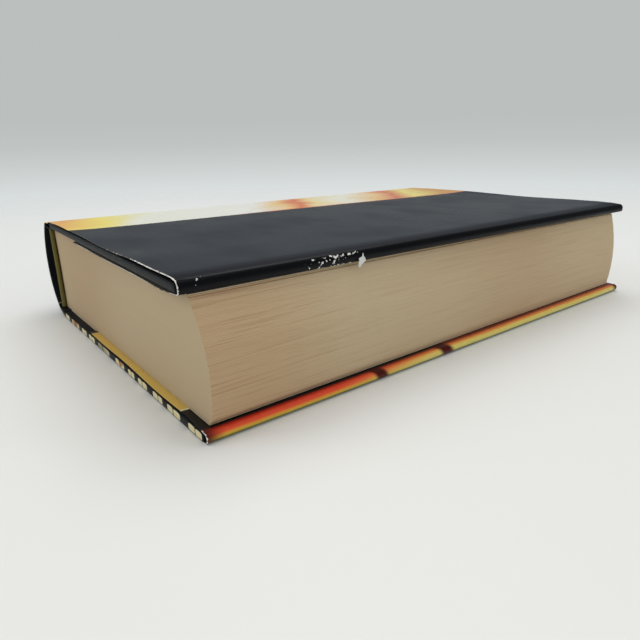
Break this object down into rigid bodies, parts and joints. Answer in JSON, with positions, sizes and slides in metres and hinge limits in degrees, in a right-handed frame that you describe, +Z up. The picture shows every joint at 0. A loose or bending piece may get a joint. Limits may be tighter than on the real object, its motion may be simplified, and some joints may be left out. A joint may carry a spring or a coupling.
{
  "type": "hardback book",
  "caption": "Thick hardback book lying on its back cover, with a round spine, cocked leaves and a loose glossy dust jacket; both covers open on hinges.",
  "frame": {"origin": "on the table, under the middle of the closed book's bounding box", "axes": "+X from the spine to the fore-edge, +Y from the tail to the head, +Z up through the front cover"},
  "size_m": [0.1678, 0.2428, 0.0448],
  "materials": {
    "book_paper": "matt uncoated cream paper",
    "endpaper": "matt uncoated cream paper, heavier than the leaves",
    "mull_cloth": "open starched cotton",
    "kraft_paper": "rough brown lining paper",
    "band_cloth": "woven olive and gold band",
    "inlay_card": "thin grey card",
    "greyboard": "dense grey binder's board",
    "printed_case_paper": "smooth black paper printed with cream shapes",
    "glossy_jacket_paper": "printed paper under a glossy film, scuffed at the edges"
  },
  "bodies": {
    "leaves_and_spine": {"text_block": "book_paper", "back_free_endpaper": "endpaper", "front_free_endpaper": "endpaper", "spine_super": "mull_cloth", "spine_lining": "kraft_paper", "tail_band": "band_cloth", "head_band": "band_cloth", "spine_inlay": "inlay_card", "case_spine_covering": "printed_case_paper", "jacket_spine": "glossy_jacket_paper"},
    "back_cover": {"back_board": "greyboard", "back_covering": "printed_case_paper", "back_super_wing": "mull_cloth", "back_pastedown": "endpaper", "back_jacket": "glossy_jacket_paper"},
    "front_cover": {"front_board": "greyboard", "front_covering": "printed_case_paper", "front_super_wing": "mull_cloth", "front_pastedown": "endpaper", "front_jacket": "glossy_jacket_paper"}
  },
  "joints": [
    {"name": "front_cover_hinge", "type": "hinge", "parent": "leaves_and_spine", "child": "front_cover", "pos_m": [-0.07492, 0.00116, 0.0412], "axis": [-0.0157, -0.9999, 0], "range_deg": [0, 175]},
    {"name": "back_cover_hinge", "type": "hinge", "parent": "leaves_and_spine", "child": "back_cover", "pos_m": [-0.07062, -0.00002, 0.0036], "axis": [0, 1, 0], "range_deg": [0, 175]}
  ]
}
